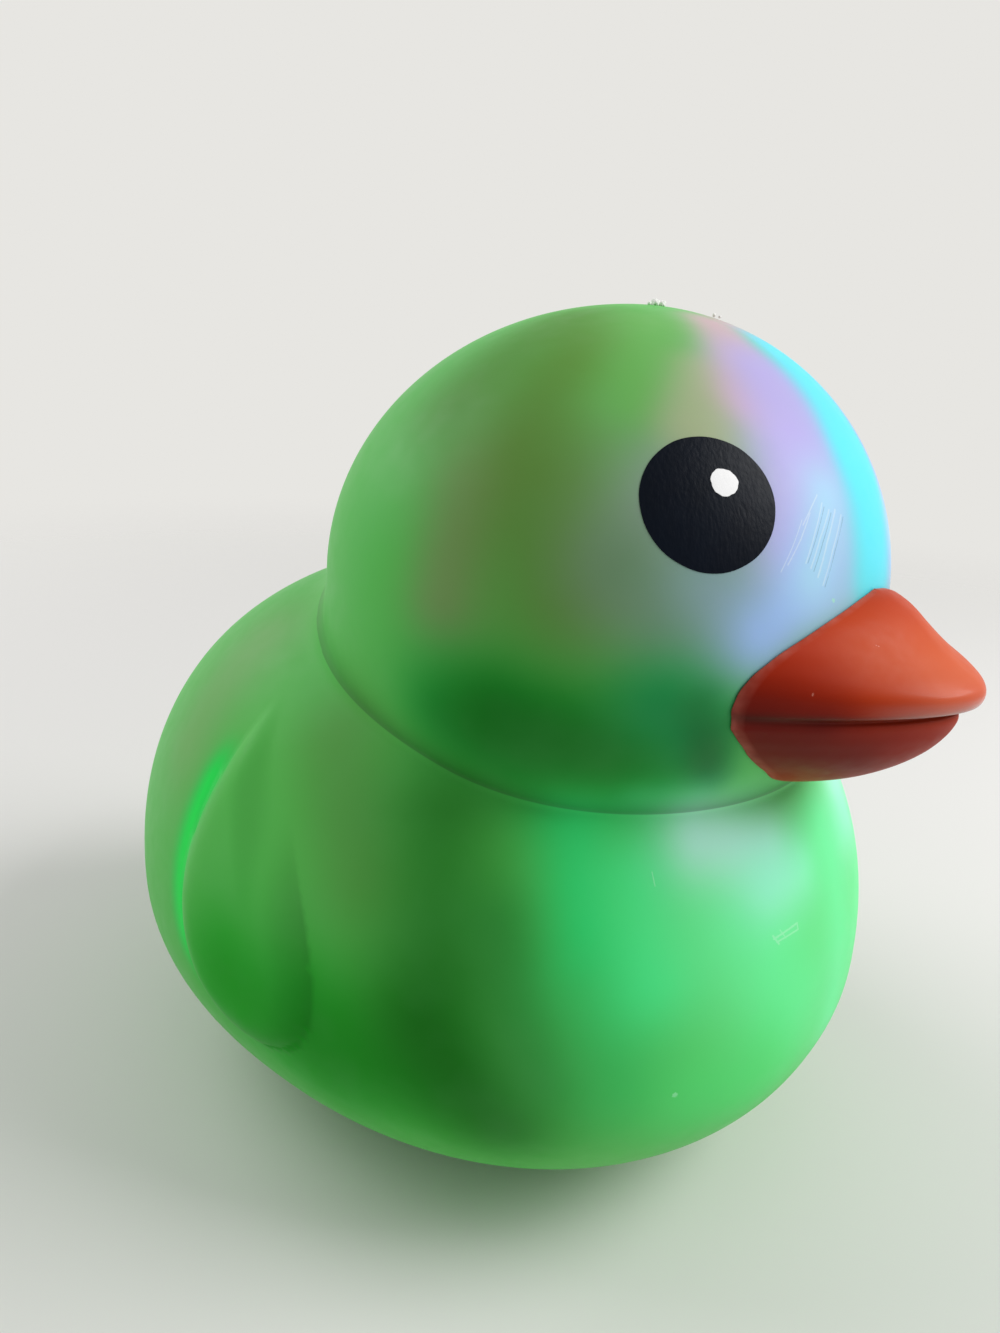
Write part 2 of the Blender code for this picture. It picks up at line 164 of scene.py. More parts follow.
# %% Two balls and the way out of them
BODY = dict(centre=(0, 0, 0.0490), half=0.0780, front=0.0910, back=0.0943, rise=0.0806,
            drop=0.0530, fullness=2.16, spread=0.0)
HEAD = dict(centre=(0, -0.0309, 0.1296), half=0.0632, front=0.0548, back=0.0617, rise=0.0558,
            drop=0.0606, fullness=2.0, spread=0.55)
NECK_CORE = np.array((0, -0.01854, 0.0893))
CREASE_SOFTNESS, NAPE_SOFTNESS = 0.0015, 0.013


def smooth_step(value):
    """Rises from 0 to 1 with level ends."""
    value = np.clip(value, 0, 1)
    return value * value * (3 - 2 * value)


def outside(ball, points):
    """Under 0 inside a ball and over 0 outside it; spread widens its lower back."""
    x, y, z = np.moveaxis(points - np.array(ball["centre"]), -1, 0)
    z = z / np.where(z > 0, ball["rise"], ball["drop"])
    y = y / np.where(y < 0, ball["front"], ball["back"] * (1 + ball["spread"] * np.clip(-z, 0, 1) ** 1.2))
    power = ball["fullness"]
    return (np.abs(x / ball["half"]) ** power + np.abs(y) ** power + np.abs(z) ** power) - 1


def way_out(ball, start, rays):
    """How far each ray runs from start before it leaves a ball, by halving the doubt 32 times."""
    near = np.zeros(rays.shape[:-1])
    far = near + 0.25
    for _ in range(32):
        middle = (near + far) / 2
        inside = outside(ball, start + rays * middle[..., None]) < 0
        near, far = np.where(inside, middle, near), np.where(inside, far, middle)
    return near


def rays_at(turn, tip):
    """Unit rays: turn goes round Z from the front, tip goes down from the crown."""
    turn, tip = np.broadcast_arrays(turn, tip)
    return np.stack([np.sin(tip) * np.sin(turn), -np.sin(tip) * np.cos(turn), np.cos(tip)], -1)


# %% [markdown]
# ## The tail
# The tail is out of sight in the photograph, so it gets the plainest form such a duck has: a
# short soft tip drawn out of the back, as if the clay of the master had been pinched.

# %% Draw the tail out of the body
TAIL_TIP = np.array((0, 0.1061, 0.0800))
TAIL_HALF_WIDTH, TAIL_ABOVE, TAIL_BELOW = 0.022, 0.020, 0.026


def tail_stretch(rays):
    """How much further the tail reaches along each ray: most at its tip, falling off with distance."""
    tip = TAIL_TIP - NECK_CORE
    length = np.linalg.norm(tip)
    stretch = length - way_out(BODY, NECK_CORE, (tip / length)[None])[0]
    away = rays * length - tip
    upright = np.hypot(away[..., 1], away[..., 2]) / np.where(away[..., 2] > 0, TAIL_ABOVE, TAIL_BELOW)
    return stretch * np.exp(-np.hypot(away[..., 0] / TAIL_HALF_WIDTH, upright) ** 1.5)


def skin_at(rays):
    """Points of the outer skin on rays from the neck's core."""
    body = way_out(BODY, NECK_CORE, rays) + tail_stretch(rays)
    head = way_out(HEAD, NECK_CORE, rays)
    level = np.maximum(np.hypot(rays[..., 0], rays[..., 1]), 1e-9)
    nape = (0.5 + 0.5 * rays[..., 1] / level) ** 4
    softness = CREASE_SOFTNESS + (NAPE_SOFTNESS - CREASE_SOFTNESS) * nape
    share = np.clip(0.5 + 0.5 * (head - body) / softness, 0, 1)
    distance = body + (head - body) * share + softness * share * (1 - share)
    falling = rays[..., 2] < 0
    to_floor = NECK_CORE[2] / np.where(falling, -rays[..., 2], 1)
    distance = np.where(falling, np.minimum(distance, to_floor), distance)
    return NECK_CORE + rays * distance[..., None]


# %% [markdown]
# ## Rings that follow the crease
# A crease looks ragged when the grid runs across it. So the ring for the crease is found
# first, by halving again, and the other rings are shared out above and below it, closer
# together where the surface bends most.

# %% Lay out the rings
COLUMNS, HEAD_RINGS, BODY_RINGS = 352, 112, 112
WALL = 0.0025
HOLE_RADIUS, RECESS_RADIUS, RECESS_DEPTH = 0.0050, 0.0110, 0.0016


def tip_where(turn, low, high, is_above):
    """The angle down from the crown where is_above stops being true, for each turn."""
    low, high = np.full_like(turn, low), np.full_like(turn, high)
    for _ in range(32):
        middle = (low + high) / 2
        above = is_above(rays_at(turn, middle))
        low, high = np.where(above, middle, low), np.where(above, high, middle)
    return (low + high) / 2


def flat_ring(turn, radius, height):
    """A level circle about the air hole."""
    return np.stack([radius * np.sin(turn), -radius * np.cos(turn), height + 0 * turn], -1)


turn = np.linspace(0, 2 * math.pi, COLUMNS, endpoint=False)
turn = turn + 0.2 * np.sin(turn)
crease = tip_where(turn, 0.35, 2.6,
                   lambda rays: way_out(HEAD, NECK_CORE, rays) > way_out(BODY, NECK_CORE, rays))
floor_edge = tip_where(turn, 1.9, math.pi, lambda rays: skin_at(rays)[..., 2] > 1e-7)
down_head = 1 - (1 - np.arange(1, HEAD_RINGS + 1) / HEAD_RINGS) ** 1.3
down_body = np.arange(1, BODY_RINGS + 1) / BODY_RINGS
down_body = down_body ** 1.3
tips = np.concatenate([down_head[:, None] * crease, crease + down_body[:, None] * (floor_edge - crease)])
skin_rays = rays_at(turn[None], tips)
skin = skin_at(skin_rays)
print("skin rings:", skin.shape, "lowest point mm:", round(float(skin[..., 2].min()) * 1000, 4))

# %% [markdown]
# ## The wings
# Each wing is a raised teardrop, round end down, whose foot is a crisp line at the bottom and
# at the back, and which melts into the shoulder on top. It could be a separate pad laid on
# the body, but on the real duck it is the same skin. So the skin itself is raised: how far
# depends on how deep inside the teardrop's outline a point lies in the side view. Points
# nearly on the outline are first moved exactly onto it, which keeps the foot line clean.

# %% Raise the wings out of the skin
WING_LOW, WING_LENGTH, WING_HALF_WIDTH, WING_LEAN = 0.038, 0.074, 0.0205, 0.0105
WING_CENTRE, WING_RISE, WING_EDGE, WING_SNAP = 0.0005, 0.0030, 0.0075, 0.0006
FRONT_FADES_FROM, BACK_FADES_FROM, WING_FADE = 0.066, 0.092, 0.024
SEARCH_SIDE, SEARCH_MIDDLE, SEARCH_HALF, SEARCH_LOW, SEARCH_HIGH = 0.035, 0.003, 0.032, 0.030, 0.120


def wing_outline(count):
    """The teardrop in side view (y, z): its angle runs round it from the round end at the bottom."""
    angle = np.linspace(0, 2 * math.pi, count, endpoint=False)
    upward = np.sin(angle / 2) ** 2
    across = np.sin(angle) * np.abs(np.cos(angle / 2)) ** 1.5
    return np.stack([WING_CENTRE + WING_LEAN * upward + WING_HALF_WIDTH * across / across.max(),
                     WING_LOW + WING_LENGTH * upward], -1)


def side_distance(places, outline):
    """Distance inside an outline (over 0) or outside it (under 0), and the nearest outline point."""
    start, end = outline, np.roll(outline, -1, axis=0)
    along = end - start
    from_start = places[:, None] - start[None]
    share = np.clip((from_start * along).sum(-1) / (along ** 2).sum(-1), 0, 1)
    nearest = start + along * share[..., None]
    distance = np.linalg.norm(places[:, None] - nearest, axis=-1)
    best = distance.argmin(axis=1)
    rows = np.arange(len(places))
    y, z = places[:, 0:1], places[:, 1:2]
    crosses = (start[:, 1] > z) != (end[:, 1] > z)
    slope = along[:, 0] / np.where(along[:, 1] == 0, 1, along[:, 1])
    within = (crosses & (y < start[:, 0] + (z - start[:, 1]) * slope)).sum(axis=1) % 2 == 1
    return np.where(within, 1, -1) * distance[rows, best], nearest[rows, best]


def behind_middle(y, z):
    """How far back a place lies from the wing's leaning middle line, in metres."""
    return y - WING_CENTRE - WING_LEAN * (z - WING_LOW) / WING_LENGTH


outline = wing_outline(220)
x, y, z = np.moveaxis(skin, -1, 0)
near_wing = (np.abs(x) > SEARCH_SIDE) & (np.abs(y - SEARCH_MIDDLE) < SEARCH_HALF)
near_wing &= (z > SEARCH_LOW) & (z < SEARCH_HIGH)
depth, foot = side_distance(skin[near_wing][:, 1:], outline)
close = np.abs(depth) < WING_SNAP
moved = skin[near_wing].copy()
moved[close, 1:] = foot[close]
moved_rays = (moved - NECK_CORE) / np.linalg.norm(moved - NECK_CORE, axis=-1, keepdims=True)
moved = np.where(close[:, None], skin_at(moved_rays), moved)
depth = np.where(close, 0, depth)
wing_depth = np.full(skin.shape[:2], -1.0)
wing_depth[near_wing] = depth
backward = smooth_step(behind_middle(moved[:, 1], moved[:, 2]) / 0.016 + 0.5)
fade_from = FRONT_FADES_FROM + (BACK_FADES_FROM - FRONT_FADES_FROM) * backward
held = 1 - smooth_step((moved[:, 2] - fade_from) / WING_FADE)
edge = np.clip(depth / WING_EDGE, 0, 1)
moved[:, 0] += np.sign(moved[:, 0]) * WING_RISE * held * (1 - (1 - edge) ** 2) ** 0.75
skin[near_wing] = moved
print("wing points:", int((depth > 0).sum()), "widest, mm:", round(float(skin[..., 0].max()) * 2000, 1))

# %% [markdown]
# ## Close the moulding
# Underneath, the skin runs in flat to a shallow round recess and the air hole, and through
# the hole up the inner side of the wall. The inner side is never seen, so it takes few rings.

# %% Base, hole and inner wall
edge_ring = skin[-1]
inward = np.array((0.75, 0.5, 0.28))[:, None, None]
recess_ring = flat_ring(turn, RECESS_RADIUS + 0.0004, 0.0)
base = edge_ring * inward + recess_ring * (1 - inward)
lip = np.stack([recess_ring, flat_ring(turn, RECESS_RADIUS, RECESS_DEPTH),
                flat_ring(turn, HOLE_RADIUS + 0.0002, RECESS_DEPTH),
                flat_ring(turn, HOLE_RADIUS, RECESS_DEPTH + 0.0002),
                flat_ring(turn, HOLE_RADIUS, RECESS_DEPTH + WALL),
                flat_ring(turn, RECESS_RADIUS, RECESS_DEPTH + WALL)])
inner_tips = np.linspace(2.6, 0.12, 16)[:, None] * np.ones(COLUMNS)
inner_rays = rays_at(turn[None], inner_tips)
inner = skin_at(inner_rays)
inner = inner - inner_rays * WALL * 1.2
inner[..., 2] = np.maximum(inner[..., 2], RECESS_DEPTH + WALL)
crown = skin_at(np.array([[0, 0, 1.0]]))[0]
rings = np.concatenate([skin, base, lip, inner])
duck = ring_surface("duck_skin", rings, crown, crown - (0, 0, WALL))
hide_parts("duck_body")
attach(duck, "root")

# %% [markdown]
# ## The beak as a stack of contour lines
# The beak is a short wedge: an upper bill with a rolled lip that overhangs the mouth, and a
# smaller lower bill set back under it. Its edge stands a little proud of the face. Lofting
# sections along it makes the lip hard to control, so it is built like a relief map: at each
# height there is one contour, which starts on the face, runs out round the bill and comes
# back to the face. Four numbers give a contour: its height, how far it stands out from the
# face, half its width, and how round or straight it is.

# %% Draw the bill's contours
BILL = [  # height, stands out, half width, roundness; mm
    (98.0, 0.0, 2.0, 2.0), (99.0, 3.6, 8.5, 2.0), (101.4, 8.8, 15.5, 1.8), (104.5, 12.8, 20.5, 1.6),
    (108.5, 16.0, 26.2, 1.5), (112.5, 17.9, 30.6, 1.4), (115.6, 18.6, 33.4, 1.35),
    (117.1, 18.4, 34.0, 1.35),
    (117.9, 17.6, 34.3, 1.3), (118.5, 18.6, 34.5, 1.35), (119.4, 20.6, 34.8, 1.5), (121.2, 21.3, 35.0, 1.6),
    (123.0, 20.7, 34.6, 1.65), (124.8, 18.4, 33.6, 1.65), (127.0, 14.4, 31.4, 1.6),
    (130.0, 10.2, 26.8, 1.6),
    (133.5, 6.4, 17.5, 1.7), (136.0, 2.7, 7.5, 1.8), (137.0, 0.0, 1.0, 2.0)]
BILL_SEAM, BILL_EDGE = 0.00035, 0.0009


def smooth_through(knots, count):
    """Points on a curve through the knots: cubic pieces whose slopes come from the neighbours."""
    knots = np.array(knots, dtype=float)
    padded = np.concatenate([2 * knots[:1] - knots[1:2], knots, 2 * knots[-1:] - knots[-2:-1]])
    at = np.linspace(0, len(knots) - 1, count)
    left = np.minimum(at.astype(int), len(knots) - 2)
    t = (at - left)[:, None]
    a, b, c, d = (padded[left + step] for step in range(4))
    bend, twist = a - 2.5 * b + 2 * c - d / 2, 1.5 * (b - c) + (d - a) / 2
    return b + t * (c - a) / 2 + t ** 2 * bend + t ** 3 * twist


def face_depth(x, z):
    """Y of the front of the head at a place in the front view."""
    upright = (z - HEAD["centre"][2]) / np.where(z > HEAD["centre"][2], HEAD["rise"], HEAD["drop"])
    left = np.clip(1 - (x / HEAD["half"]) ** 2 - upright ** 2, 0, 1)
    return HEAD["centre"][1] - HEAD["front"] * np.sqrt(left)


def bill_rings(knots, levels, front, back):
    """Contours stacked by height: each goes round the bill, then back along the face behind it."""
    z, out, half, roundness = (column[:, None] for column in smooth_through(knots, levels).T)
    z, out, half = z / 1000, np.maximum(out, 0) / 1000, half / 1000
    share = np.sin(np.linspace(-math.pi / 2, math.pi / 2, front))[None]
    wobble = 1 + 0.0015 * np.sin(z * 1900) + 0.003 * np.sin(z * 700 + 1)
    x = half * share * wobble
    from_seam = np.clip(half * (1 - np.abs(share)) / BILL_EDGE, 0, 1)
    proud = BILL_SEAM + 0.0007 * np.sqrt(1 - (1 - from_seam) ** 2)
    y = face_depth(x, z) - proud - out * (1 - np.abs(share) ** roundness)
    behind = np.linspace(1, -1, back + 2)[1:-1][None]
    x_behind = half * behind * wobble
    y_behind = face_depth(x_behind, z) - BILL_SEAM
    ring = np.concatenate([np.stack([x, y, z + 0 * x], -1),
                           np.stack([x_behind, y_behind, z + 0 * x_behind], -1)], axis=1)
    seam = np.concatenate([half * (1 - np.abs(share)), 0 * x_behind], axis=1)
    return ring, seam


bill, from_seam = bill_rings(BILL, 170, 180, 40)
chin = np.array((0, face_depth(0, bill[0, 0, 2]) - BILL_SEAM, bill[0, 0, 2] - 0.0002))
brow = np.array((0, face_depth(0, bill[-1, 0, 2]) - BILL_SEAM, bill[-1, 0, 2] + 0.0002))
beak = ring_surface("beak_with_lip", bill, chin, brow)
add_values(beak, "from_seam", np.append(from_seam.ravel(), (0, 0)))
beak_places = np.concatenate([bill.reshape(-1, 3), [chin, brow]]) * 1000
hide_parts("beak")
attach(beak, "root")
print("beak reaches, mm:", round(float(bill[..., 1].min()) * 1000, 2))

# %% [markdown]
# ## The printed eyes
# Each eye is a round patch of dark paint with a small white glint. A flat disc would cut into
# the round face, so each point of the disc is sent out from the head's centre onto the skin,
# and the paint lies a hair above it. The glint lies on the eye in the same way.

# %% Print the eyes
EYE_RADIUS, EYE_WIDER, EYE_TURN, EYE_LOOK_UP = 0.0117, 1.05, math.radians(44), math.radians(25)
GLINT_RADIUS, GLINT_FORWARD, GLINT_UP = 0.0024, 0.0026, 0.0035


def eye_directions(side):
    """From the head's centre: the ray to the middle of an eye, its forward and its upward direction."""
    level = math.cos(EYE_LOOK_UP)
    ray = np.array((side * math.sin(EYE_TURN) * level, -math.cos(EYE_TURN) * level, math.sin(EYE_LOOK_UP)))
    ahead = np.array((-side * math.cos(EYE_TURN), -math.sin(EYE_TURN), 0.0))
    upward = np.cross(ray, ahead) * side
    return ray, ahead, upward * np.sign(upward[2])


def paint_patch(name, side, shift, radius, low, high, rings=18, columns=128, waver=0.003):
    """A round film of paint on the head, from low to high above the skin, with a slightly uneven rim."""
    ray, ahead, upward = eye_directions(side)
    centre = np.array(HEAD["centre"])
    middle = ray * way_out(HEAD, centre, ray[None])[0]
    angle = np.linspace(0, 2 * math.pi, columns, endpoint=False)
    rim = 1 + waver * (np.sin(3 * angle + 1) + 0.6 * np.sin(7 * angle) + 0.4 * np.sin(13 * angle))
    share = np.sin(np.linspace(0.04, math.pi / 2, rings))
    share, lift = np.append(share, share[::-1]), np.append(np.full(rings, high), np.full(rings, low))
    spread = radius * share[:, None] * (1 + (rim - 1) * share[:, None] ** 3)
    towards = (middle + ahead * (shift[0] + spread * EYE_WIDER * np.cos(angle))[..., None]
               + upward * (shift[1] + spread * np.sin(angle))[..., None])
    towards = towards / np.linalg.norm(towards, axis=-1, keepdims=True)
    film = centre + towards * (way_out(HEAD, centre, towards) + lift[:, None])[..., None]
    return ring_surface(name, film, film[0].mean(axis=0), film[-1].mean(axis=0))


eyes, glints = [], []
for word, side in (("right", -1), ("left", 1)):
    eye = paint_patch("painted_eye_" + word, side, (0.0003, 0), EYE_RADIUS, 0.00001, 0.00007)
    glint = paint_patch("painted_glint_" + word, side, (GLINT_FORWARD, GLINT_UP), GLINT_RADIUS,
                        0.00008, 0.00014, rings=8, columns=64, waver=0.03)
    for patch, node, slot in ((eye, "eye_", "navy_print"), (glint, "eye_glint_", "white_print")):
        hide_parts(node + word)
        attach(patch, "root")
    eyes.append(eye)
    glints.append(glint)

# %% [markdown]
# ## The squeaker
# The whistle is a turned plug of white plastic: a flange that sits in the recess, a neck in
# the air hole, a barb that holds it, and a short tube. Turning a profile round an axis is the
# natural way, and here the profile is a list of radii and heights with small bevels.

# %% Turn the squeaker
PLUG = [  # radius, height; mm, from inside the whistle's mouth round to the top of its tube
    (0.0, 3.2), (1.35, 3.2), (1.45, 3.0), (1.5, 0.55), (1.65, 0.36), (2.2, 0.30), (3.4, 0.30), (3.5, 0.36),
    (3.6, 0.42), (3.9, 0.42), (4.0, 0.36), (4.1, 0.30), (8.9, 0.27), (9.3, 0.31), (9.7, 0.55), (9.92, 0.85),
    (9.95, 1.15), (9.85, 1.25), (4.75, 1.25), (4.65, 1.35), (4.65, 4.35), (4.75, 4.45), (5.75, 4.47),
    (5.85, 4.6), (5.6, 4.95), (4.75, 5.4), (4.6, 5.6), (4.25, 10.2), (4.1, 10.4), (3.6, 10.45),
    (0.0, 10.45)]
around = np.linspace(0, 2 * math.pi, 96, endpoint=False)
plug_rings = np.array([flat_ring(around, radius / 1000, height / 1000) for radius, height in PLUG[1:-1]])
plug_ends = [(0, 0, height / 1000) for _, height in (PLUG[0], PLUG[-1])]
squeaker = ring_surface("turned_squeaker", plug_rings, *plug_ends)
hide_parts("squeaker")
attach(squeaker, "root")

# %% [markdown]
# ## Crumbs on the crown
# A few crumbs of white fluff lie on top of the head. Each is a tiny lump whose radius is
# pushed in and out by a few waves, and all of them are one mesh.

# %% Scatter the crumbs
CRUMBS = [  # x, y, size; mm
    (-1.6, -35.2, 0.62), (-0.5, -34.2, 0.80), (0.5, -35.4, 0.60), (-2.7, -34.3, 0.42),
    (0.2, -33.0, 0.42), (3.3, -45.5, 0.34), (4.0, -46.4, 0.26), (-1.1, -36.6, 0.30)]
CRUMB_ROWS, CRUMB_COLUMNS = 8, 14


def crumb(x, y, size, phase):
    """The points of a lump on the crown: a small ball with its radius waved by its two angles."""
    tip = np.linspace(0.35, math.pi - 0.35, CRUMB_ROWS)[:, None]
    turn = np.linspace(0, 2 * math.pi, CRUMB_COLUMNS, endpoint=False)
    waves = 0.28 * np.sin(3 * turn + phase) * np.sin(2 * tip + phase)
    waves = waves + 0.16 * np.cos(5 * turn + tip * 4)
    ball = rays_at(turn, tip) * (size * (1 + waves))[..., None] / 1000
    x, y, (_, centre_y, centre_z) = x / 1000, y / 1000, HEAD["centre"]
    top = HEAD["rise"] * math.sqrt(1 - (x / HEAD["half"]) ** 2 - ((y - centre_y) / HEAD["back"]) ** 2)
    ball = ball + (x, y, centre_z + top + size * 0.00055)
    return np.concatenate([ball.reshape(-1, 3), [ball[0].mean(axis=0), ball[-1].mean(axis=0)]])


lumps = [crumb(x, y, size, 1.7 * index) for index, (x, y, size) in enumerate(CRUMBS)]
one_crumb = outward_faces(lumps[0], CRUMB_ROWS, CRUMB_COLUMNS)
faces = [[corner + len(lumps[0]) * index for corner in face]
         for index in range(len(lumps)) for face in one_crumb]
crumbs = smooth_piece("crown_crumbs", np.concatenate(lumps), faces)
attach(crumbs, "root")
print("crumbs:", len(lumps))

# %% [markdown]
# ## The spraying
# Some passes are partly or wholly painted shade or painted highlight, and their names say so.
# The colours are soft fields with no edges, as an airbrush leaves them on soft vinyl. They
# could be one picture wrapped round the duck, but a duck is sprayed in passes, and so is this
# one: each pass is a stroke from one place to another with a colour, a width and a strength,
# and fades away from its line. Both sides get the same strokes, mirrored.
#
# An end with two numbers was picked in the photograph, so many pixels across and so
# many down. The camera's ray through that pixel is followed until it meets the skin. An end
# with three numbers is a place in mm, given where it was easier to judge on the model.

# %% Mix a colour, find a place and lay a stroke
PHOTO_WIDE, PHOTO_HIGH = 1000, 1333
FOCAL_LENGTH = lens.lens / lens.sensor_width * PHOTO_HIGH  # in pixels


def paint(red, green, blue):
    """A colour as a screen shows it, in steps to 255, as the linear light that a shader takes."""
    share = np.array((red, green, blue)) / 255
    return np.where(share <= 0.04045, share / 12.92, ((share + 0.055) / 1.055) ** 2.4)


def ray_tree(piece):
    """A search tree over a piece's faces, which finds where a ray meets them."""
    copy = bmesh.new()
    copy.from_mesh(piece.data)
    tree = BVHTree.FromBMesh(copy)
    copy.free()
    return tree


skin_tree = ray_tree(duck)


def seen_at(across, down):
    """The place on the skin, in mm, that the camera sees at a pixel of the photograph."""
    ray = forward * FOCAL_LENGTH + right * (across - PHOTO_WIDE / 2) + up * (PHOTO_HIGH / 2 - down)
    return np.array(skin_tree.ray_cast(CAMERA_PLACE, ray / np.linalg.norm(ray))[0]) * 1000


def as_place(end):
    """An end of a stroke in mm: two numbers are a pixel of the photograph, three are a place."""
    return seen_at(*end) if len(end) == 2 else np.array(end, dtype=float)


def both_as_one(places):
    """Places with x taken as its size, so that the duck's two sides are the same."""
    return np.abs(places * (1, 0, 0)) + places * (0, 1, 1)


def stroke_distance(places, start, end):
    """How far each place is from the line between two others."""
    along = end - start
    share = ((places - start) * along).sum(axis=-1) / max((along ** 2).sum(), 1e-9)
    return np.linalg.norm(places - start - along * np.clip(share, 0, 1)[..., None], axis=-1)


def spray(places, base_coat, passes, both_sides=True):
    """Each pass takes the coat towards its colour, by strength * exp(-(distance / width) ** power)."""
    side = both_as_one if both_sides else np.array
    places = side(places)
    coat = np.ones(places.shape) * np.array(base_coat, dtype=float)
    for _, colour, start, end, width, strength, *crispness in passes:
        power = crispness[0] if crispness else 2
        distance = stroke_distance(places, side(as_place(start)), side(as_place(end)))
        share = strength * np.exp(-(distance / width) ** power)
        coat = coat + (np.array(colour) - coat) * share[..., None]
    return coat


def keep_coat(piece, coat):
    """Keep a coat on the points of a piece, as the light that its material takes."""
    linear = np.stack(paint(*coat.T), axis=-1)
    add_values(piece, "sprayed_and_painted_light", np.concatenate([linear, np.ones((len(linear), 1))], axis=1), "FLOAT_COLOR")


# %% Spray the head, the body and the middle
LEAF_GREEN = (90, 196, 86)
HEAD_PASSES = [  # name, colour, from, to, width in mm, strength, crispness
    ("crown shade", (76, 142, 42), (460, 400), (572, 318), 11, 0.8),
    ("arch top", (92, 138, 50), (600, 345), (525, 450), 13, 0.9),
    ("arch foot", (128, 158, 98), (475, 490), (445, 600), 9, 0.9),
    ("olive cheek", (98, 146, 60), (550, 470), (570, 590), 15, 0.9),
    ("face undercoat", (142, 168, 160), (16, -68, 166), (34, -74, 142), 19, 0.95),
    ("front undercoat", (166, 204, 240), (8, -73, 167), (10, -84, 140), 13, 0.9),
    ("eye surround", (150, 160, 158), (37, -62, 160), (46, -64, 146), 11, 0.9),
    ("leaf patch", (108, 184, 90), (632, 400), (655, 325), 9, 0.9),
    ("grey cheek", (108, 146, 104), (630, 570), (670, 600), 9, 0.85),
    ("blue cheek", (136, 166, 168), (705, 590), (740, 625), 9, 0.9),
    ("sand brow", (170, 182, 140), (712, 380), (700, 425), 8, 0.9, 3),
    ("pink brow", (214, 176, 190), (718, 325), (752, 395), 8, 0.95, 3),
    ("lilac face", (190, 176, 238), (9, -64, 173), (22, -79, 148), 11, 0.95, 3),
    ("sky cheek", (164, 198, 255), (31, -78, 133), (20, -82, 141), 8.5, 0.9),
    ("sky front", (174, 222, 250), (826, 500), (815, 575), 7, 0.9),
    # The three jaw passes are partly the jaw's own dark green and partly painted shade under the head.
    ("deep jaw shade", (4, 140, 38), (62, -36, 114), (42, -66, 106), 11, 0.85),
    ("dark jaw shade", (0, 118, 16), (500, 722), (640, 758), 11, 0.97, 2.3),
    ("teal jaw shade", (4, 142, 72), (662, 712), (690, 735), 9, 0.9),
    # A painted shadow of the beak on the face, at its corner and below it.
    ("painted shadow of the beak", (0, 84, 30), (37, -69, 121), (33, -73, 105), 5, 0.9),
    ("light chin", (60, 186, 100), (690, 798), (640, 800), 5, 0.7),
]
BODY_PASSES = [
    ("shoulder", (124, 182, 104), (262, 640), (190, 740), 14, 0.8),
    ("wing green", (98, 206, 92), (265, 740), (290, 840), 12, 0.6),
    # Low on the wing, partly the wing's own dark green and partly painted shade under its round end.
    ("shade low on the wing", (0, 160, 8), (225, 980), (300, 1030), 15, 0.95),
    ("flank olive", (92, 168, 74), (340, 740), (365, 870), 12, 0.9),
    ("low flank", (4, 144, 8), (340, 1060), (420, 1080), 14, 0.9),
    ("dark band", (42, 134, 40), (443, 820), (443, 960), 12, 0.85),
    ("dark foot", (10, 114, 8), (430, 1030), (500, 1120), 13, 0.9),
    ("olive step", (50, 146, 56), (500, 930), (545, 1080), 9, 0.8),
    ("mint edge", (38, 220, 112), (575, 830), (590, 960), 8, 0.9),
    ("lower mint", (60, 196, 92), (600, 1010), (620, 1090), 12, 0.85),
    ("mint side", (60, 246, 138), (640, 880), (655, 980), 11, 0.85),
    ("chest mint", (108, 250, 158), (740, 930), (790, 1010), 22, 0.95),
    ("chest low", (86, 230, 118), (700, 1095), (750, 1080), 13, 0.8),
    # The last two passes are painted highlights on the chest.
    ("chest highlight", (196, 255, 238), (700, 838), (765, 848), 9, 0.9),
    ("lower chest highlight", (154, 255, 212), (770, 880), (800, 865), 9, 0.8),
]
FRONT_PASSES = [  # sprayed once down the face and the chest, a little to the duck's left
    ("cyan brow", (94, 236, 255), (8, -60, 177), (6, -77, 161), 10.5, 0.98, 4),
    ("cyan front", (94, 236, 255), (6, -77, 161), (2, -85, 140), 10.5, 0.98, 4),
    ("chest middle", (112, 250, 164), (2, -84, 88), (2, -90, 46), 10, 0.9),
]
places = np.concatenate([rings.reshape(-1, 3), [crown, crown - (0, 0, WALL)]]) * 1000
coat = spray(places, LEAF_GREEN, HEAD_PASSES + BODY_PASSES)
coat = spray(places, coat, FRONT_PASSES, both_sides=False)

print("passes of colour:", len(HEAD_PASSES) + len(BODY_PASSES) + len(FRONT_PASSES))

# %% [markdown]
# ## Painted shade under the head, and painted shade and highlight round the wings
# Shade is painted into the crease under the head, most at the throat. Shade is also painted at
# the foot of each wing in front, and behind the wing runs a bright streak, a painted highlight.
# Each is a soft band about a line that the shape already has, so it is worked out from the
# shape. The finished colour, painted shade and highlight included, is then kept on each point of the skin
# for the material to read.

# %% Paint shade into the crease and at the wings, and a highlight behind them; mm
CREASE_REACH, CREASE_BACK, CREASE_THROAT = 0.09, 0.04, 0.24
HIGHLIGHT_GREEN, HIGHLIGHT_AWAY, HIGHLIGHT_WIDTH, HIGHLIGHT_STRENGTH = (10, 244, 84), 2.4, 3.4, 0.95
FOOT_WIDTH, FOOT_STRENGTH = 5.0, 0.10

# Painted shade in the crease under the head, most at the throat.
over_body = np.maximum(outside(BODY, places / 1000), 0)
on_head = over_body > outside(HEAD, places / 1000)
throat = smooth_step((60 - places[:, 1]) / 60)
crease_shade = np.where(on_head, np.exp(-(over_body / CREASE_REACH) ** 1.2), 0)
crease_shade = crease_shade * (CREASE_BACK + (CREASE_THROAT - CREASE_BACK) * throat)
coat = coat * (1 - crease_shade[:, None])
